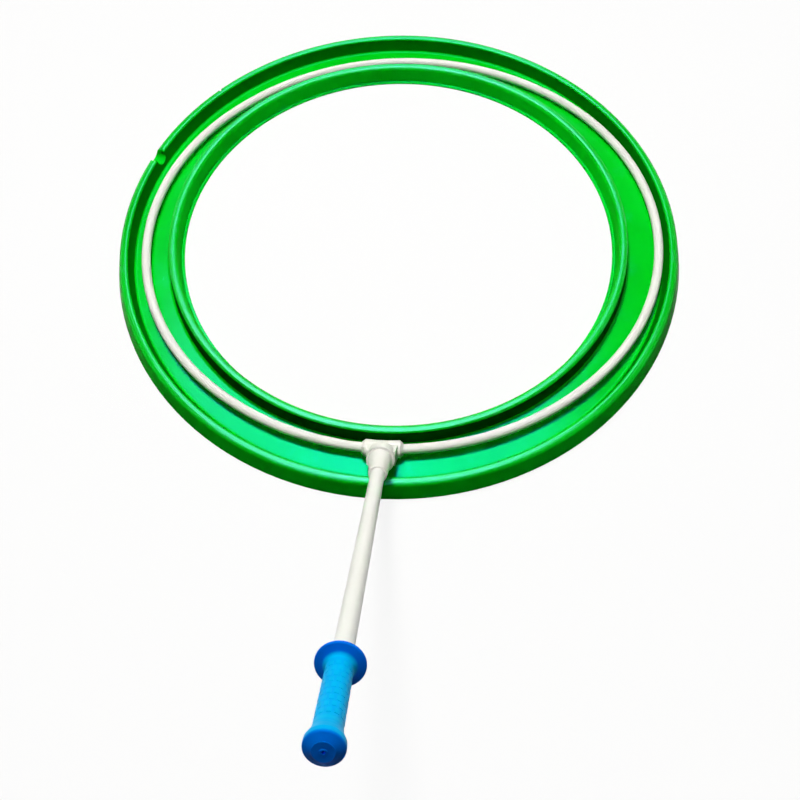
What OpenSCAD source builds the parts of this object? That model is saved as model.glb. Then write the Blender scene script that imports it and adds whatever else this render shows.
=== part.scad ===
// Giant bubble wand: a hoop on a raised handle, lying in its ring-shaped dipping tray.
// The tray stands on the ground, +Z is up, and the handle points along -Y.

/* [Tray] */
// Radius of the outer lip's outer edge
lip_r = 500; // [400:1:600]
// Height of the outer lip above the ground
lip_h = 32.5; // [28:0.5:40]
// Width of the outer lip
lip_w = 13; // [12:0.5:18]
// How far the outer wall's foot stands out past the lip
foot_flare = 11.5; // [4:0.5:16]
// Width of the trough between the lip and the inner rim
trough_w = 74; // [62:1:90]
// Height of the inner rim above the ground
rim_h = 35.5; // [28:0.5:42]
// Width of the inner rim
rim_w = 14.5; // [13:0.5:20]
// Height of the trough's floor above the ground
floor_z = 5; // [4:0.5:9]
// How far each trough wall leans in between its top and the floor
wall_lean = 6; // [2:0.5:9]
// How far the opening's wall leans in between its top and its foot
opening_lean = 1.5; // [0.5:0.5:4]
// Width of the foot flange round the opening
foot_w = 5; // [3:0.5:10]
// Thickness of the moulded skin
skin = 3; // [2:0.25:3.5]
// Rounding of the lip's outer edge
lip_round = 8; // [6:0.5:9]
// Rounding of the two edges beside the trough
edge_round = 5; // [3.8:0.1:5.5]
// Rounding of the rim's edge beside the opening
rim_round = 8; // [6:0.5:8]
// Rounding where the floor meets the walls
floor_round = 5; // [2:0.5:8]

/* [Pour spout and vent] */
// Direction of the pour spout, counted from +X
spout_angle = 162.5; // [100:0.5:260]
// Width of the spout's channel
spout_w = 26; // [16:1:40]
// Height of the channel's lowest line above the ground
spout_z = 15; // [13:0.5:21]
// Rounding of the channel's shoulders
spout_round = 5; // [3.8:0.1:8]
// Direction of the vent notch, counted from +X
vent_angle = 139; // [30:1:150]
// Width of the vent notch along the lip
vent_w = 8; // [4:0.5:14]
// How far the vent notch cuts in from the lip's outer edge
vent_in = 6; // [3:0.5:7]
// How far the vent notch cuts down from the lip's top
vent_deep = 9; // [5:0.5:14]

/* [Hoop] */
// Outside diameter of the hoop's tube
hoop_od = 16; // [12:0.5:18]
// Wall of the hoop's tube
hoop_wall = 2; // [1.5:0.25:3]
// How far the hoop's ends are turned down, outside and inside, where they push into the sleeves
hoop_neck = 0.3; // [0.2:0.05:0.5]
// Turn of the oval hoop against the tee
hoop_turn = 7; // [1:0.5:12]
// How far the tee lies off the tray's centre, sideways
wand_x = 1.5; // [-4:0.5:2]

/* [Tee fitting] */
// Length of the run between its two mouths
run_len = 58; // [50:1:70]
// Outside diameter of the run
run_od = 28.5; // [26:0.5:29]
// Depth of each run socket
run_socket = 22; // [16:1:24]
// Slope of the branch above the hoop's plane
branch_slope = 45; // [35:1:55]
// Outside diameter of the branch hub
hub_od = 44; // [42:0.5:46]
// Distance of the hub's mouth from the run's axis
hub_len = 44; // [40:1:60]
// Depth of the hub's socket
hub_socket = 22; // [16:1:24]
// Length of the cone that widens the branch from the run to the hub
hub_cone = 22; // [18:1:28]
// Bore of the passage that joins the sockets
passage_d = 12; // [10:0.5:13]
// Length of the wider barrel and chamber in the middle of the run
belly = 14; // [10:0.5:14]
// How far the wider barrel stands proud of the run
belly_proud = 0.6; // [0.6:0.1:1]
// Rounding of the fittings' mouths
mouth_round = 1.2; // [0.6:0.1:1.5]
// Thickness of the two webs between the run and the hub
web_t = 24; // [6:0.5:24]
// Distance of a web's foot from the run's mouth
web_in = 4; // [3:0.5:8]

/* [Sleeves and bush] */
// Outside diameter of the sleeves that hold the hoop's ends
sleeve_od = 20; // [19.5:0.1:21]
// How far each sleeve's cone stands out of the run
sleeve_out = 4; // [2.5:0.5:8]
// Width of the cone's outer face round the hoop's tube
sleeve_face = 1.6; // [1:0.1:2]
// Outside diameter of the handle bush
bush_od = 36; // [32:0.5:37]
// How far the handle bush stands out of the hub
bush_out = 56; // [45:1:70]
// Outside diameter of the bush at its tapered end
bush_tip_d = 27.5; // [26.5:0.5:30]
// How deep the handle pipe sits in the bush
pipe_in = 38; // [25:1:50]

/* [Handle] */
// Outside diameter of the handle pipe
pipe_od = 21.3; // [20:0.1:23]
// Wall of the handle pipe
pipe_wall = 2.7; // [1.5:0.1:4]
// Length of bare pipe between the bush and the grip
pipe_bare = 442.5; // [300:0.5:600]

/* [Grip] */
// Length of the grip from the flange's front to the end rim's front edge
grip_len = 113; // [100:1:160]
// Wall of the grip's body
grip_wall = 2.4; // [1.5:0.1:4]
// Outside diameter of the hand flange
flange_d = 50; // [44:0.5:60]
// Thickness of the flange at its rim
flange_t = 5; // [3:0.5:8]
// Outside diameter of the end knob
knob_d = 37; // [34:0.5:42]
// Thickness of the knob's rim
knob_t = 6; // [4:0.5:9]
// Rounding of the rim's two edges
knob_round = 2.5; // [1.5:0.1:3]
// Length over which the body flares out to the rim
flare_len = 20; // [16:1:26]
// Thickness of the closed end behind the rim's front edge
end_wall = 6; // [4:0.5:9]
// How far the end's raised disc stands past the rim
dome = 4; // [3:0.1:6]
// Diameter of the raised disc on the end
disc_d = 21; // [16:0.5:24]
// Diameter of the small boss round the air hole
boss_d = 7.5; // [7:0.5:10]
// Height of the disc's edge and of the boss
end_step = 0.4; // [0.3:0.1:1]
// Height of the raised pads on the grip's body
pad_h = 0.4; // [0.3:0.1:1.2]
// Number of pads in one row round the body
pads_round = 12; // [8:1:16]
// Number of pad rows along the body
pad_rows = 9; // [5:1:10]
// Share of its place round the body that a pad fills
pad_wide = 0.6; // [0.4:0.05:0.8]
// Share of its row's length that a pad fills
pad_long = 0.7; // [0.4:0.05:0.8]
// Diameter of the air hole in the grip's end
air_d = 3.5; // [2:0.1:6]

/* [Clearances] */
// Clearance all round between pieces that push together
fit = 0.15; // [0.05:0.05:0.3]
// Gap between the resting wand and the trough's floor
rest_gap = 0.3; // [0.2:0.05:1]
// Gap between the oval hoop's long ends and the floor's outer edge, if the hoop lay centred
end_gap = 8; // [7:0.5:14]
// Gap between the tee and the floor's inner edge, if the hoop lay centred
side_gap = 3.65; // [2:0.05:8]
// Gap between the tee and the floor's inner edge, as the wand lies
tee_gap = 2.15; // [0.4:0.05:4]

/* [Hidden] */
$fn = 96;
arc_step = 15;

// Radii of the tray's section and of the pieces of the wand
foot_r = lip_r + foot_flare;
rim_r = lip_r - lip_w - trough_w;
opening_foot_r = rim_r - rim_w - opening_lean;
opening_r = opening_foot_r - foot_w;
floor_out = lip_r - lip_w - wall_lean;
floor_in = rim_r + wall_lean;
run_r = run_od / 2;
belly_r = run_r + belly_proud;
hub_r = hub_od / 2;
bush_r = bush_od / 2;
pipe_r = pipe_od / 2;
body_r = pipe_r + fit + grip_wall;
knob_r = knob_d / 2;

// Distances along the branch, counted from the run's axis
bush_start = hub_len - hub_socket + fit;
bush_end = hub_len + bush_out;
pipe_start = bush_end - pipe_in + fit;
grip_start = bush_end + pipe_bare;
knob_at = grip_start + grip_len;
pipe_end = knob_at - end_wall;

// The hoop is an oval of four bends: each bend's centre lies off the oval's middle by the same amount
half_long = floor_out - end_gap - hoop_od / 2;
half_short = floor_in + side_gap + belly_r;
bend_off = (half_long - half_short) / (2 - sqrt(2));
flat_bend_r = half_short + bend_off;
end_bend_r = half_long - bend_off;

// The tee's arms touch the near bend where the sleeves end
arm_turn = atan((run_len / 2 + fit + sleeve_out) / flat_bend_r);
hoop_x = bend_off * sin(hoop_turn);
hoop_y = flat_bend_r / cos(arm_turn) - bend_off * cos(hoop_turn);

// The wand stands on the tee's run and on the hoop's tube opposite it
hoop_depth = hoop_y - bend_off * cos(hoop_turn) + flat_bend_r;
tee_z = floor_z + rest_gap + belly_r;
far_z = floor_z + rest_gap + hoop_od / 2;
rest_tilt = asin((tee_z - far_z) / hoop_depth);

handle_slope = branch_slope + rest_tilt;
tee_y = -(floor_in + tee_gap + belly_r);

// Outline tools: a corner is [x, y, rounding]
function xy(p) = [p[0], p[1]];
function unit(v) = v / norm(v);
function left_of(a, b) = unit([a[1] - b[1], b[0] - a[0]]);
function wrap(angle) = angle > 180 ? angle - 360 : angle < -180 ? angle + 360 : angle;
function bend(a, b, c) = sign(cross(xy(b) - xy(a), xy(c) - xy(b)));

// Middle of the arc that rounds corner b between its neighbours a and c
function arc_centre(a, b, c) =
    let (
        u = unit(xy(a) - xy(b)),
        v = unit(xy(c) - xy(b))
    )
    xy(b) + unit(u + v) * b[2] / sin(acos(u * v) / 2);

// Points of that arc
function corner_arc(a, b, c) =
    let (
        u = unit(xy(a) - xy(b)),
        v = unit(xy(c) - xy(b)),
        half = acos(u * v) / 2,
        centre = arc_centre(a, b, c),
        from = xy(b) + u * b[2] / tan(half) - centre,
        to = xy(b) + v * b[2] / tan(half) - centre,
        start = atan2(from[1], from[0]),
        sweep = wrap(atan2(to[1], to[0]) - start),
        steps = ceil(abs(sweep) / arc_step)
    )
    [
        for (i = [0 : steps])
            let (angle = start + sweep * i / steps)
            centre + b[2] * [cos(angle), sin(angle)]
    ];

// Closed outline with every corner rounded by its own radius
function rounded(corners) =
    let (n = len(corners))
    [
        for (i = [0 : n - 1])
            let (b = corners[i])
            each (b[2] > 0 ? corner_arc(corners[(i + n - 1) % n], b, corners[(i + 1) % n]) : [xy(b)])
    ];

// Corner b moved by a wall's thickness to the left of the way a, b, c
function inset(a, b, c, wall) =
    let (
        m = left_of(xy(a), xy(b)),
        n = left_of(xy(b), xy(c)),
        p = xy(b) + wall * (m + n) / (1 + m * n)
    )
    [p[0], p[1], max(b[2] - bend(a, b, c) * wall, 0)];

// The tray's upper side from the outer foot over the trough to the opening's foot
tray_top = [
    [foot_r, 0, 0],
    [lip_r, lip_h, lip_round],
    [lip_r - lip_w, lip_h, edge_round],
    [floor_out, floor_z, floor_round],
    [floor_in, floor_z, floor_round],
    [rim_r, rim_h, edge_round],
    [rim_r - rim_w, rim_h, rim_round],
    [opening_foot_r, skin, skin / 2],
    [opening_r, skin, skin / 3]
];
tray_last = len(tray_top) - 1;
tray_under = [for (i = [1 : tray_last - 1]) inset(tray_top[i - 1], tray_top[i], tray_top[i + 1], skin)];
foot_wall = skin / cos(atan(foot_flare / lip_h));
tray_section = concat(
    tray_top,
    [[opening_r, 0, 0]],
    [for (i = [len(tray_under) - 1 : -1 : 0]) tray_under[i]],
    [[foot_r - foot_wall, 0, 0]]
);
lip_section = [tray_top[0], tray_top[1], tray_top[2], tray_top[3], [floor_out, 0, 0]];

// Half section of the grip along the branch: hand flange, body, flared knob, and end with a disc and a boss
flare = knob_r - body_r;
flare_at = knob_at - knob_t - flare_len;
grip_section = [
    [pipe_r + fit, grip_start, 0],
    [body_r + flange_t / 2, grip_start, 0],
    [flange_d / 2, grip_start + flange_t / 4, flange_t / 3],
    [flange_d / 2, grip_start + flange_t, flange_t / 3],
    [body_r, grip_start + 3 / 2 * flange_t, flange_t],
    [body_r, flare_at, 5 * flare],
    [body_r + flare / 4, flare_at + flare_len / 2, 3 * flare],
    [knob_r, flare_at + flare_len, knob_round],
    [knob_r, knob_at, knob_round],
    [disc_d / 2, knob_at + dome - end_step, 0],
    [disc_d / 2 - end_step, knob_at + dome, 0],
    [boss_d / 2, knob_at + dome, 0],
    [boss_d / 2 - end_step, knob_at + dome + end_step, 0],
    [air_d / 2, knob_at + dome + end_step, 0],
    [air_d / 2, pipe_end + fit, 0],
    [pipe_r + fit, pipe_end + fit, 0]
];
knob_corner = 8;

// The origin is the middle of the whole footprint, which reaches from the knob to the tray's far foot
knob_mid = arc_centre(
    grip_section[knob_corner - 1],
    grip_section[knob_corner],
    grip_section[knob_corner + 1]
);
reach = knob_mid * [sin(handle_slope), cos(handle_slope)] + knob_round - tee_y;
tray_y = (reach - foot_r) / 2;

module ring(section) {
    rotate_extrude()
        polygon(rounded(section));
}

// Cross-section of the spout's channel, looking along it: x runs along the lip, y is the height
module channel_section(half_w, low, top, shoulder) {
    middle = low + half_w;
    sky = lip_h + edge_round;
    translate([0, middle])
        circle(r = half_w);
    translate([-half_w, middle])
        square([2 * half_w, sky - middle]);
    difference() {
        translate([-half_w - shoulder, top - shoulder])
            square([2 * (half_w + shoulder), sky - top + shoulder]);
        for (side = [-1, 1])
            translate([side * (half_w + shoulder), top - shoulder])
                circle(r = shoulder);
    }
}

// A channel across the lip in the spout's direction
module channel(half_w, low, top, shoulder) {
    inner = floor_out - skin;
    rotate([0, 0, spout_angle])
        translate([inner, 0, 0])
            rotate([90, 0, 90])
                linear_extrude(foot_r - inner + skin)
                    channel_section(half_w, low, top, shoulder);
}

// A notch in the lip's outer edge, grown by a wall's thickness on its closed sides
module vent(grow) {
    rotate([0, 0, vent_angle])
        translate([lip_r - vent_in - grow, -vent_w / 2 - grow, lip_h - vent_deep - grow])
            cube([vent_in + grow + foot_flare, vent_w + 2 * grow, vent_deep + grow + edge_round]);
}

module tray() {
    color("limegreen")
        translate([0, tray_y, 0])
            difference() {
                union() {
                    ring(tray_section);
                    intersection() {
                        ring(lip_section);
                        union() {
                            channel(spout_w / 2 + skin, spout_z - skin, lip_h - skin, spout_round - skin);
                            vent(skin);
                        }
                    }
                }
                channel(spout_w / 2, spout_z, lip_h, spout_round);
                vent(0);
            }
}

// The resting place of the wand: the tee's middle, with the hoop's far side down on the floor
module wand_place() {
    translate([wand_x, tray_y + tee_y, tee_z])
        rotate([-rest_tilt, 0, 0])
            children();
}

// The branch's own axis as Z, with the tee's middle at the origin
module along_branch() {
    wand_place()
        rotate([90 - branch_slope, 0, 0])
            children();
}

// The axis of one of the run's arms as Z: side 0 is on the right, side 1 on the left
module along_arm(side) {
    wand_place()
        mirror([side, 0, 0])
            rotate([0, 0, arm_turn])
                rotate([0, 90, 0])
                    children();
}

module tube_section(thinner) {
    difference() {
        circle(d = hoop_od - 2 * thinner);
        circle(d = hoop_od - 2 * hoop_wall + 2 * thinner);
    }
}

// One quarter of the oval hoop, counted from the right: odd quarters are the flatter ones
module hoop_bend(quarter) {
    flat = quarter % 2 == 1;
    rotate([0, 0, hoop_turn + 90 * quarter])
        translate([flat ? -bend_off : bend_off, 0, 0])
            rotate([0, 0, -45])
                rotate_extrude(angle = 90)
                    translate([flat ? flat_bend_r : end_bend_r, 0])
                        tube_section(0);
}

// The oval is open at the tee, where its turned-down ends go on straight into the sleeves
module hoop() {
    tube_start = run_len / 2 - run_socket + 2 * fit;
    shoulder = run_len / 2 + 2 * fit + sleeve_out;
    color("white") {
        wand_place()
            difference() {
                translate([hoop_x, hoop_y, 0])
                    for (quarter = [0 : 3])
                        hoop_bend(quarter);
                cube([2 * shoulder * cos(arm_turn), 4 * hoop_od, 2 * hoop_od], center = true);
            }
        for (side = [0, 1])
            along_arm(side)
                translate([0, 0, tube_start])
                    linear_extrude(shoulder + hoop_wall - tube_start)
                        tube_section(hoop_neck);
    }
}

// One arm of the run along Z
module arm_barrel() {
    rotate_extrude()
        polygon(rounded([
            [0, 0, 0],
            [run_r, 0, 0],
            [run_r, run_len / 2, mouth_round],
            [0, run_len / 2, 0]
        ]));
}

// The branch hub along Z: a cone out of the run, then a barrel
module hub_barrel() {
    rotate_extrude()
        polygon(rounded([
            [0, 0, 0],
            [run_r, 0, 0],
            [hub_r, hub_cone, 0],
            [hub_r, hub_len, mouth_round],
            [0, hub_len, 0]
        ]));
}

// Web between one arm of the run and the hub's side, along the branch
module web(side) {
    foot = run_len / 2 - web_in;
    mirror([side, 0, 0])
        translate([0, web_t / 2, 0])
            rotate([90, 0, 0])
                linear_extrude(web_t)
                    polygon([
                        [0, 0],
                        [foot, 0],
                        [foot, run_r / 3],
                        [hub_r, hub_len - 2 * web_in],
                        [0, hub_len - 2 * web_in]
                    ]);
}

// A barrel across the middle of the run, where the two arms meet
module belly_barrel(radius, length) {
    rotate([0, 90, 0])
        cylinder(r = radius, h = length, center = true);
}

module arm_bore() {
    cylinder(d = passage_d, h = run_len / 2);
    translate([0, 0, run_len / 2 - run_socket])
        cylinder(r = sleeve_od / 2 + fit, h = 2 * run_socket);
}

module hub_bore() {
    cylinder(d = passage_d - belly_proud, h = hub_len);
    translate([0, 0, hub_len - hub_socket])
        cylinder(r = bush_r + fit, h = 2 * hub_socket);
}

module tee_fitting() {
    color("ivory")
        difference() {
            union() {
                for (side = [0, 1])
                    along_arm(side)
                        arm_barrel();
                wand_place()
                    belly_barrel(belly_r, belly);
                along_branch() {
                    hub_barrel();
                    for (side = [0, 1])
                        web(side);
                }
            }
            for (side = [0, 1])
                along_arm(side)
                    arm_bore();
            wand_place()
                belly_barrel(passage_d / 2 + belly_proud, belly);
            along_branch()
                hub_bore();
        }
}

// Reducing sleeve between a run socket and the hoop's tube, with a cone outside the mouth
module hoop_sleeve(side) {
    inner = hoop_od / 2 - hoop_neck + fit;
    start = run_len / 2 - run_socket + fit;
    mouth = run_len / 2 + fit;
    along_arm(side)
        rotate_extrude()
            polygon(rounded([
                [inner, start, 0],
                [sleeve_od / 2, start, 0],
                [sleeve_od / 2, mouth, 0],
                [run_r - mouth_round, mouth, 0],
                [hoop_od / 2 + sleeve_face, mouth + sleeve_out, sleeve_face / 2],
                [inner, mouth + sleeve_out, 0]
            ]));
}

module hoop_sleeve_left() {
    color("whitesmoke")
        hoop_sleeve(1);
}

module hoop_sleeve_right() {
    color("whitesmoke")
        hoop_sleeve(0);
}

// Tapered bush that stands out of the hub and holds the pipe
module handle_bush() {
    seat = bush_end - pipe_in;
    color("ivory")
        along_branch()
            rotate_extrude()
                polygon(rounded([
                    [passage_d / 2, bush_start, 0],
                    [bush_r, bush_start, mouth_round],
                    [bush_r, hub_len + mouth_round, 0],
                    [bush_tip_d / 2, bush_end, mouth_round],
                    [pipe_r + fit, bush_end, 0],
                    [pipe_r + fit, seat, 0],
                    [passage_d / 2, seat, 0]
                ]));
}

module handle_pipe() {
    color("white")
        along_branch()
            translate([0, 0, pipe_start])
                difference() {
                    cylinder(r = pipe_r, h = pipe_end - pipe_start);
                    translate([0, 0, -pipe_wall])
                        cylinder(r = pipe_r - pipe_wall, h = pipe_end - pipe_start + 2 * pipe_wall);
                }
}

// One raised pad on the grip's body, spanning an angle and a length
module pad(angle, length) {
    rotate([0, 0, -angle / 2])
        rotate_extrude(angle = angle)
            translate([body_r - pad_h, 0])
                square([2 * pad_h, length]);
}

// Rows of pads, every other row turned by half a step
module grip_pads() {
    first = grip_start + 3 * flange_t;
    row_step = (flare_at - first) / pad_rows;
    turn = 360 / pads_round;
    for (row = [0 : pad_rows - 1])
        for (i = [0 : pads_round - 1])
            translate([0, 0, first + row * row_step])
                rotate([0, 0, (i + (row % 2) / 2) * turn])
                    pad(turn * pad_wide, row_step * pad_long);
}

module grip() {
    color("deepskyblue")
        along_branch() {
            rotate_extrude()
                polygon(rounded(grip_section));
            grip_pads();
        }
}

tray();
hoop();
tee_fitting();
hoop_sleeve_left();
hoop_sleeve_right();
handle_bush();
handle_pipe();
grip();
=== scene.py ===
"""Giant bubble wand in its ring-shaped dipping tray: materials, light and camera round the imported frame."""
import math

import bpy
from mathutils import Matrix, Vector


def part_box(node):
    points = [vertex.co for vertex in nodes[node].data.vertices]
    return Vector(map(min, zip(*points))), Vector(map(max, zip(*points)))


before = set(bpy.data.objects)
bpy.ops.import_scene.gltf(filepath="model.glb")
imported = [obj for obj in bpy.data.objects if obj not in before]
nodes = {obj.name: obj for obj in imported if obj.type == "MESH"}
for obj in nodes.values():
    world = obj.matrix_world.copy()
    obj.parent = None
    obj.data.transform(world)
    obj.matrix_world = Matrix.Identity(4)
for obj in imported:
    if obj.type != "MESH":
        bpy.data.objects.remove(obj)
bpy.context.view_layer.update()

tray_low, tray_high = (Vector(c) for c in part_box("tray"))
TRAY = Vector(((tray_low.x + tray_high.x) / 2, (tray_low.y + tray_high.y) / 2, 0.0))

# Camera fitted to the tray's circles in the photograph, in a frame on the tray's centre
VIEW_TURN = math.radians(5.06)
VIEW_FROM = Vector((-0.0065, -0.931, 1.188))
VIEW_PITCH = math.radians(63.47)
VIEW_ROLL = math.radians(-2.01)
LENS_MM = 36.0
VIEW_NEAR = 0.01
VIEW_FAR = 50.0

# Floor: half its side, its drop below the tray's foot, and how far the white backdrop shows through it
FLOOR_HALF = 8.0
FLOOR_DROP = 0.0006
FLOOR_COLOUR = (0.92, 0.92, 0.92, 1)
FLOOR_CLEAR = 0.90

# Light that the floor throws back in the tray's opening and outside it, and the radii where it changes
BOUNCE_INSIDE = 0.70
BOUNCE_OUTSIDE = 0.55
BOUNCE_EDGE = (0.40, 0.50)

# Weak even light, and the backdrop's fade from white to a dim ceiling as a ray points further up
AMBIENT = 0.03
AMBIENT_COLOUR = (1.0, 0.98, 0.94, 1)
WHITE = (1, 1, 1, 1)
CEILING = 0.10
CEILING_FADE = (0.25, 0.55)

# Key lamp, from the tray's centre: it gives the shadows and is not seen in gloss
KEY_PLACE = Vector((-0.28, 0.55, 2.5))
KEY_SIZE = (0.5, 0.5)
KEY_POWER = 67.5
KEY_COLOUR = (1.0, 0.985, 0.94)

# Sky panels, seen in gloss alone: name, middle along Y from the tray's centre, depth, power and colour
SKY_X = -0.3
SKY_HEIGHT = 2.6
SKY_WIDTH = 2.1
SKY_PANELS = (
    ("sky", 0.15, 3.2, 182.0, (1.0, 1.0, 1.0)),
    ("sky_back", 3.0, 2.5, 62.0, (0.45, 0.85, 1.0)),
)

# Tray's greens: clouded plastic, specks, dried soap, worn crests with a painted paler sheen, and the painted
# shade of the trough's inner and outer wall
TRAY_GREENS = (0.0004, 0.59, 0.006, 1), (0.0004, 0.67, 0.011, 1)
TRAY_SPECK = (0.002, 0.45, 0.012, 1)
TRAY_SOAP = (0.02, 0.74, 0.24, 1)
TRAY_WORN_SHEEN = (0.10, 0.74, 0.32, 1)
TRAY_WALL_SHADES = (0.0001, 0.03, 0.0005, 1), (0.0002, 0.17, 0.002, 1)
TRAY_SHEENS = (0.0, 0.75, 0.95, 1), (0.22, 0.78, 1.0, 1)

# Tray's zones in metres, each from its weak end to its full end: heights first, then radii
SOAP_Z = (0.016, 0.006)
CREST_Z = (0.030, 0.0335)
CORNER_Z = (0.020, 0.012)
# TROUGH_R, ACROSS_R and OUTSIDE_R place the painted shade on the trough's walls
TROUGH_R = (0.404, 0.410)
ACROSS_R = (0.425, 0.445)
CORNER_R = (0.474, 0.479)
OUTSIDE_R = (0.490, 0.496)

# How level a face is where it counts as a steep wall that takes the painted shade, and where it takes the
# full gloss, and the least gloss
STEEP_RISE = (0.60, 0.25)
GLOSS_RISE = (0.68, 0.90)
LEAST_GLOSS = 0.001

# White plastics: two clouded tones and the tone of their marks
HOOP_WHITES = (0.91, 0.905, 0.87, 1), (0.94, 0.94, 0.91, 1)
HOOP_LINE = (0.70, 0.70, 0.65, 1)
PIPE_WHITES = (0.93, 0.925, 0.90, 1), (0.95, 0.95, 0.93, 1)
PIPE_SCUFF = (0.74, 0.73, 0.68, 1)
FITTING_IVORIES = (0.93, 0.915, 0.87, 1), (0.95, 0.94, 0.91, 1)
FITTING_FLOW = (0.72, 0.70, 0.63, 1)

# Grip's blues: body, raised pads, rubbed places, and the flange and knob painted a deeper blue as shade, for
# faces turned from the light
GRIP_BLUES = (0.0, 0.46, 0.98, 1), (0.0, 0.51, 1.0, 1)
GRIP_PAD = (0.0, 0.58, 1.0, 1)
GRIP_RUBBED = (0.0, 0.55, 1.0, 1)
GRIP_END_SHADES = (0.0, 0.17, 0.93, 1), (0.0, 0.20, 0.97, 1)
GRIP_SHEEN = (0.0, 0.5, 1.0, 1)

# Grip's zones in metres: radii of the flange and of the pads' tops, then places along it from the pipe's end
FLANGE_R = (0.0145, 0.0180)
PAD_R = (0.01325, 0.01350)
PAST_PAD_R = (0.0142, 0.0138)
FLANGE_W = (-0.080, -0.090)
KNOB_W = (0.0030, 0.0065)

# First guess of the handle's slope, and the rounds that refine it
SLOPE_GUESS = math.radians(45)
SLOPE_ROUNDS = 8

# Noise values between which the broad clouds of a surface turn from one tone to the other
CLOUD = (0.35, 0.65)
WHITE_CLOUD = (0.35, 0.68)


class Nodes:
    """Short calls that build a node tree."""

    def __init__(self, tree):
        self.tree = tree

    def new(self, kind, **props):
        node = self.tree.nodes.new(kind)
        for key, value in props.items():
            setattr(node, key, value)
        return node

    def put(self, socket, value):
        if isinstance(value, bpy.types.NodeSocket):
            self.tree.links.new(value, socket)
        else:
            socket.default_value = value

    def fill(self, node, **values):
        for key, value in values.items():
            self.put(node.inputs[key.replace("_", " ")], value)

    def shader(self, kind, **values):
        node = self.new(kind)
        self.fill(node, **values)
        return node.outputs[0]

    def blend(self, factor, a, b):
        """Shader a where the factor is 0, shader b where it is 1."""
        node = self.new("ShaderNodeMixShader")
        for socket, value in zip(node.inputs, (factor, a, b)):
            self.put(socket, value)
        return node.outputs[0]

    def math(self, op, a, b=0.0):
        node = self.new("ShaderNodeMath", operation=op)
        self.put(node.inputs[0], a)
        self.put(node.inputs[1], b)
        return node.outputs[0]

    def times(self, a, b):
        return self.math("MULTIPLY", a, b)

    def plus(self, a, b):
        return self.math("ADD", a, b)

    def length(self, a, b):
        return self.math("SQRT", self.plus(self.times(a, a), self.times(b, b)))

    def ramp(self, value, edge, low=0.0, high=1.0):
        """From low at the edge's first number to high at its second, smooth between."""
        node = self.new("ShaderNodeMapRange", interpolation_type="SMOOTHSTEP")
        self.fill(node, Value=value, From_Min=edge[0], From_Max=edge[1], To_Min=low, To_Max=high)
        return node.outputs["Result"]

    def span(self, value, low, high, edge=(0.0, 1.0)):
        """From low at the edge's first number to high at its second, evenly."""
        node = self.new("ShaderNodeMapRange")
        self.fill(node, Value=value, From_Min=edge[0], From_Max=edge[1], To_Min=low, To_Max=high)
        return node.outputs["Result"]

    def mix(self, factor, a, b):
        node = self.new("ShaderNodeMix", data_type="RGBA")
        self.put(node.inputs[0], factor)
        self.put(node.inputs[6], a)
        self.put(node.inputs[7], b)
        return node.outputs[2]

    def noise(self, vector, scale, detail, rough=0.55):
        node = self.new("ShaderNodeTexNoise")
        self.fill(node, Vector=vector, Scale=scale, Detail=detail, Roughness=rough)
        return node.outputs["Fac"]

    def stretched(self, values, scales):
        """A vector of values, each times its own scale, for marks that run one way."""
        node = self.new("ShaderNodeCombineXYZ")
        for socket, value, scale in zip(node.inputs, values, scales):
            self.put(socket, self.times(value, scale))
        return node.outputs[0]

    def point(self, kind="Object"):
        return self.new("ShaderNodeTexCoord").outputs[kind]

    def parts(self, vector):
        node = self.new("ShaderNodeSeparateXYZ")
        self.put(node.inputs[0], vector)
        return node.outputs

    def along(self, point, origin, axes):
        """How far the point lies from the origin along each axis."""
        shift = self.new("ShaderNodeVectorMath", operation="SUBTRACT")
        self.put(shift.inputs[0], point)
        shift.inputs[1].default_value = origin
        out = []
        for axis in axes:
            dot = self.new("ShaderNodeVectorMath", operation="DOT_PRODUCT")
            self.put(dot.inputs[0], shift.outputs[0])
            dot.inputs[1].default_value = axis
            out.append(dot.outputs["Value"])
        return out

    def backdrop_rays(self):
        """1 for rays that show the background itself: camera, glossy and transmission rays."""
        path = self.new("ShaderNodeLightPath")
        seen = path.outputs["Is Camera Ray"]
        for name in ("Is Glossy Ray", "Is Transmission Ray"):
            seen = self.math("MAXIMUM", seen, path.outputs[name])
        return seen


class Plastic(Nodes):
    """A material on one Principled shader."""

    def __init__(self, name):
        self.mat = bpy.data.materials.new(name)
        self.mat.use_nodes = True
        super().__init__(self.mat.node_tree)
        self.bsdf = self.tree.nodes["Principled BSDF"]

    def rise(self):
        """How far the surface faces up or down: 1 for level faces, 0 for upright ones."""
        return self.math("ABSOLUTE", self.parts(self.point("Normal"))[2])

    def bump(self, *layers):
        """Bump layers of (height, strength, distance in metres), the coarsest first."""
        normal = None
        for height, strength, distance in layers:
            node = self.new("ShaderNodeBump")
            self.fill(node, Height=height, Strength=strength, Distance=distance)
            if normal is not None:
                self.put(node.inputs["Normal"], normal)
            normal = node.outputs[0]
        self.put(self.bsdf.inputs["Normal"], normal)

    def set(self, **values):
        self.fill(self.bsdf, **values)


def ring_place(sh):
    """The point, its distance from the tray's axis, its angle round it in radians, and its height."""
    point = sh.point()
    x, y = sh.along(point, TRAY, ((1, 0, 0), (0, 1, 0)))
    return point, sh.length(x, y), sh.math("ARCTAN2", y, x), sh.parts(point)[2]


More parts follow.
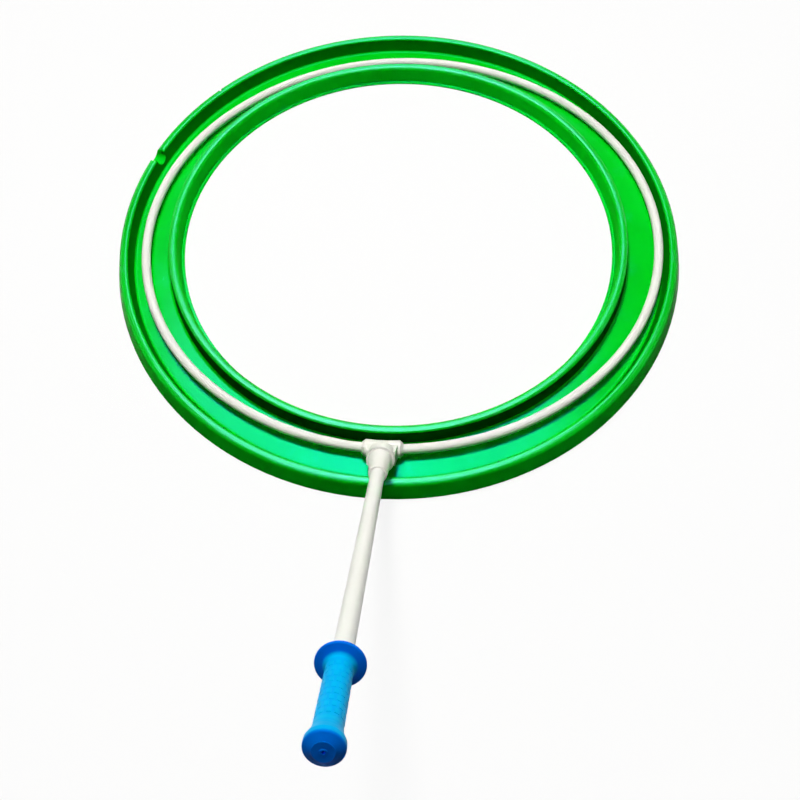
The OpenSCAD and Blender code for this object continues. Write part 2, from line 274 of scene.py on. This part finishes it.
def tray_material():
    sh = Plastic("tray_gloss_green")
    point, radius, angle, z = ring_place(sh)
    rise = sh.rise()
    around = sh.stretched((radius, angle, z), (40.0, 1.3, 40.0))
    cloud = sh.noise(point, scale=5.0, detail=4.0)
    speck = sh.noise(point, scale=420.0, detail=2.0)
    scuff = sh.noise(around, scale=9.0, detail=3.0, rough=0.7)
    film = sh.noise(point, scale=17.0, detail=6.0, rough=0.62)
    crest = sh.ramp(z, CREST_Z)

    green = sh.mix(sh.ramp(cloud, CLOUD), *TRAY_GREENS)
    green = sh.mix(sh.ramp(speck, (0.55, 0.75), high=0.12), green, TRAY_SPECK)
    soap = sh.times(sh.ramp(z, SOAP_Z), sh.ramp(film, (0.5, 0.72), high=0.08))
    green = sh.mix(soap, green, TRAY_SOAP)
    # Worn crest tops patched by scuff noise, with the pale mix strong enough to paint in part of the crests'
    # paler sheen
    worn_and_sheen = sh.times(crest, sh.ramp(scuff, (0.50, 0.68), high=0.30))
    green = sh.mix(worn_and_sheen, green, TRAY_WORN_SHEEN)

    # Painted shade: the trough's steep walls are painted a deeper green for the shade they lie in, the inner
    # one most, and the tray's outside hardly
    wall_shade = sh.times(sh.ramp(rise, STEEP_RISE), sh.ramp(radius, TROUGH_R))
    wall_shade = sh.times(wall_shade, sh.span(film, 0.88, 1.0))
    wall_shade = sh.times(wall_shade, sh.ramp(radius, OUTSIDE_R, low=1.0, high=0.05))
    green = sh.mix(wall_shade, green, sh.mix(sh.ramp(radius, ACROSS_R), *TRAY_WALL_SHADES))

    rough = sh.plus(sh.span(cloud, 0.13, 0.19), sh.ramp(scuff, (0.5, 0.75), high=0.08))
    rough = sh.plus(rough, sh.times(soap, 1.2))

    # Level faces are glossy, the crests most, and the floor's outer corner is duller
    corner = sh.times(sh.ramp(radius, CORNER_R), sh.ramp(z, CORNER_Z))
    gloss = sh.times(sh.ramp(rise, GLOSS_RISE), sh.span(crest, 0.39, 0.66))
    gloss = sh.math("MAXIMUM", sh.times(gloss, sh.span(corner, 1.0, 0.35)), LEAST_GLOSS)
    sh.set(Base_Color=green, Roughness=rough, IOR=1.5)
    sh.set(Specular_IOR_Level=gloss, Specular_Tint=sh.mix(crest, *TRAY_SHEENS))
    waves = sh.noise(point, scale=60.0, detail=2.0)
    sh.bump((waves, 0.08, 0.0005), (scuff, 0.05, 0.0001), (speck, 0.03, 0.00006))
    return sh.mat


def hoop_material():
    sh = Plastic("hoop_satin_white")
    point, radius, angle, z = ring_place(sh)
    drawn = sh.stretched((radius, angle, z), (55.0, 0.8, 55.0))
    line = sh.noise(drawn, scale=14.0, detail=2.0, rough=0.7)
    cloud = sh.noise(point, scale=7.0, detail=4.0)
    grain = sh.noise(point, scale=600.0, detail=2.0)
    white = sh.mix(sh.ramp(cloud, WHITE_CLOUD), *HOOP_WHITES)
    white = sh.mix(sh.ramp(line, (0.55, 0.72), high=0.25), white, HOOP_LINE)
    sh.set(Base_Color=white, Roughness=sh.span(line, 0.34, 0.52), IOR=1.48, Specular_IOR_Level=0.1)
    sh.bump((line, 0.06, 0.00008), (grain, 0.03, 0.00004))
    return sh.mat


def along_handle():
    """The pipe's middle, its own axes and half its length, from the box it fills."""
    low, high = (Vector(c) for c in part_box("handle_pipe"))
    size = high - low
    slope = SLOPE_GUESS
    for _ in range(SLOPE_ROUNDS):
        slope = math.atan2(size.z - size.x * math.cos(slope), size.y - size.x * math.sin(slope))
    way = Vector((0, -math.cos(slope), math.sin(slope)))
    side = Vector((1, 0, 0))
    half = (size.z - size.x * math.cos(slope)) / math.sin(slope) / 2
    return (low + high) / 2, (side, way.cross(side), way), half


def pipe_material(middle, axes):
    sh = Plastic("pipe_white")
    point = sh.point()
    drawn = sh.stretched(sh.along(point, middle, axes), (60.0, 60.0, 1.2))
    line = sh.noise(drawn, scale=12.0, detail=2.0, rough=0.7)
    cloud = sh.noise(point, scale=9.0, detail=4.0)
    scuff = sh.noise(point, scale=48.0, detail=6.0, rough=0.72)
    white = sh.mix(sh.ramp(cloud, WHITE_CLOUD), *PIPE_WHITES)
    white = sh.mix(sh.ramp(scuff, (0.62, 0.76), high=0.30), white, PIPE_SCUFF)
    sh.set(Base_Color=white, Roughness=sh.span(line, 0.26, 0.42), IOR=1.5, Specular_IOR_Level=0.25)
    sh.bump((line, 0.05, 0.00006), (scuff, 0.03, 0.00006))
    return sh.mat


def fitting_material():
    sh = Plastic("fitting_ivory")
    point = sh.point()
    cloud = sh.noise(point, scale=24.0, detail=4.0)
    grain = sh.noise(point, scale=900.0, detail=2.0)
    flow = sh.noise(point, scale=75.0, detail=5.0, rough=0.65)
    ivory = sh.mix(sh.ramp(cloud, WHITE_CLOUD), *FITTING_IVORIES)
    ivory = sh.mix(sh.ramp(flow, (0.58, 0.74), high=0.22), ivory, FITTING_FLOW)
    sh.set(Base_Color=ivory, Roughness=sh.span(flow, 0.24, 0.40), IOR=1.5, Specular_IOR_Level=0.25)
    sh.bump((flow, 0.05, 0.0001), (grain, 0.03, 0.00003))
    return sh.mat


def grip_material(middle, axes, half):
    sh = Plastic("grip_blue_rubber")
    point = sh.point()
    u, v, w = sh.along(point, middle, axes)
    radius = sh.length(u, v)
    cloud = sh.noise(point, scale=30.0, detail=4.0)
    grain = sh.noise(point, scale=800.0, detail=1.0)
    rub = sh.noise(point, scale=130.0, detail=5.0, rough=0.7)
    # The flange and the knob's end take a deeper blue: painted shade for faces turned away from the light
    shaded_flange = sh.times(sh.ramp(radius, FLANGE_R), sh.ramp(w, [half + place for place in FLANGE_W]))
    shaded_ends = sh.math("MAXIMUM", shaded_flange, sh.ramp(w, [half + place for place in KNOB_W]))
    pads = sh.times(sh.ramp(radius, PAD_R), sh.ramp(radius, PAST_PAD_R, high=0.5))
    blue = sh.mix(sh.ramp(cloud, CLOUD), *GRIP_BLUES)
    blue = sh.mix(pads, blue, GRIP_PAD)
    blue = sh.mix(sh.ramp(rub, (0.56, 0.72), high=0.25), blue, GRIP_RUBBED)
    blue = sh.mix(shaded_ends, blue, sh.mix(sh.ramp(cloud, CLOUD), *GRIP_END_SHADES))
    sh.set(Base_Color=blue, Roughness=sh.span(rub, 0.36, 0.54), IOR=1.5)
    sh.set(Specular_IOR_Level=sh.span(shaded_ends, 0.08, 0.04), Specular_Tint=GRIP_SHEEN)
    sh.bump((rub, 0.06, 0.0001), (grain, 0.10, 0.00004))
    return sh.mat


def dress(node, material):
    mesh = nodes[node].data
    mesh.materials.clear()
    mesh.materials.append(material)


def make_camera():
    ahead = Vector((0, math.cos(VIEW_PITCH), -math.sin(VIEW_PITCH)))
    right = Vector((1, 0, 0))
    up = right.cross(ahead)
    right_rolled = right * math.cos(VIEW_ROLL) + up * math.sin(VIEW_ROLL)
    up_rolled = up * math.cos(VIEW_ROLL) - right * math.sin(VIEW_ROLL)
    axes = Matrix((right_rolled, up_rolled, -ahead)).transposed().to_4x4()
    camera = bpy.data.objects.new("camera", bpy.data.cameras.new("camera"))
    bpy.context.collection.objects.link(camera)
    camera.data.sensor_fit = "HORIZONTAL"
    camera.data.sensor_width = LENS_MM
    camera.data.lens = LENS_MM
    camera.data.clip_start = VIEW_NEAR
    camera.data.clip_end = VIEW_FAR
    turn = Matrix.Rotation(VIEW_TURN, 4, "Z")
    camera.matrix_world = Matrix.Translation(TRAY) @ turn @ Matrix.Translation(VIEW_FROM) @ axes
    bpy.context.scene.camera = camera


def floor_material():
    """Nearly clear to the rays that show the background, so the white backdrop and a shadow are seen."""
    mat = bpy.data.materials.new("floor_pale")
    mat.use_nodes = True
    net = Nodes(mat.node_tree)
    net.tree.nodes.clear()
    out = net.new("ShaderNodeOutputMaterial")
    lit = net.shader("ShaderNodeBsdfDiffuse", Color=FLOOR_COLOUR)
    seen = net.blend(FLOOR_CLEAR, lit, net.shader("ShaderNodeBsdfTransparent"))
    reach = net.new("ShaderNodeVectorMath", operation="LENGTH")
    net.put(reach.inputs[0], net.point())
    pale = net.span(reach.outputs["Value"], BOUNCE_INSIDE, BOUNCE_OUTSIDE, BOUNCE_EDGE)
    bounce = net.shader("ShaderNodeBsdfDiffuse", Color=pale)
    net.put(out.inputs["Surface"], net.blend(net.backdrop_rays(), bounce, seen))
    return mat


def make_floor():
    mesh = bpy.data.meshes.new("floor")
    signs = ((-1, -1), (1, -1), (1, 1), (-1, 1))
    mesh.from_pydata([(x * FLOOR_HALF, y * FLOOR_HALF, 0) for x, y in signs], [], [(0, 1, 2, 3)])
    mesh.materials.append(floor_material())
    floor = bpy.data.objects.new("floor", mesh)
    floor.location = TRAY - Vector((0, 0, FLOOR_DROP))
    bpy.context.collection.objects.link(floor)


def make_world():
    """A white backdrop low down for the rays that show it, a dim ceiling above, and weak even light."""
    world = bpy.data.worlds.new("studio")
    bpy.context.scene.world = world
    world.use_nodes = True
    net = Nodes(world.node_tree)
    net.tree.nodes.clear()
    out = net.new("ShaderNodeOutputWorld")
    soft = net.shader("ShaderNodeBackground", Color=AMBIENT_COLOUR, Strength=AMBIENT)
    upward = net.parts(net.point("Generated"))[2]
    fade = net.ramp(upward, CEILING_FADE, low=1.0, high=CEILING)
    white = net.shader("ShaderNodeBackground", Color=WHITE, Strength=fade)
    net.put(out.inputs["Surface"], net.blend(net.backdrop_rays(), soft, white))


def area_lamp(name, place, target, size, power, colour):
    lamp = bpy.data.lights.new(name, "AREA")
    lamp.shape = "RECTANGLE"
    lamp.size, lamp.size_y = size
    lamp.energy = power
    lamp.color = colour
    obj = bpy.data.objects.new(name, lamp)
    bpy.context.collection.objects.link(obj)
    obj.location = place
    obj.rotation_euler = (target - place).to_track_quat("-Z", "Y").to_euler()
    obj.visible_camera = False
    return obj


def even_out(lamp, reach):
    """Hold the light at its level at this reach, so a raised wand isn't lit more than a resting one."""
    lamp.use_nodes = True
    net = Nodes(lamp.node_tree)
    falloff = net.new("ShaderNodeLightFalloff")
    net.fill(falloff, Strength=1 / reach ** 2)
    net.fill(net.tree.nodes["Emission"], Strength=falloff.outputs["Constant"])


def make_lamps():
    key = area_lamp("key", TRAY + KEY_PLACE, TRAY, KEY_SIZE, KEY_POWER, KEY_COLOUR)
    key.visible_glossy = False
    even_out(key.data, KEY_PLACE.length)
    for name, middle, depth, power, colour in SKY_PANELS:
        below = TRAY + Vector((SKY_X, middle, 0.0))
        above = below + Vector((0, 0, SKY_HEIGHT))
        sky = area_lamp(name, above, below, (SKY_WIDTH, depth), power, colour)
        sky.visible_diffuse = False


dress("tray", tray_material())
dress("hoop", hoop_material())
fitting = fitting_material()
for node in ("tee_fitting", "hoop_sleeve_left", "hoop_sleeve_right", "handle_bush"):
    dress(node, fitting)
pipe_middle, pipe_axes, pipe_half = along_handle()
dress("handle_pipe", pipe_material(pipe_middle, pipe_axes))
dress("grip", grip_material(pipe_middle, pipe_axes, pipe_half))

make_camera()
make_floor()
make_world()
make_lamps()
bpy.context.scene.view_settings.view_transform = "Standard"
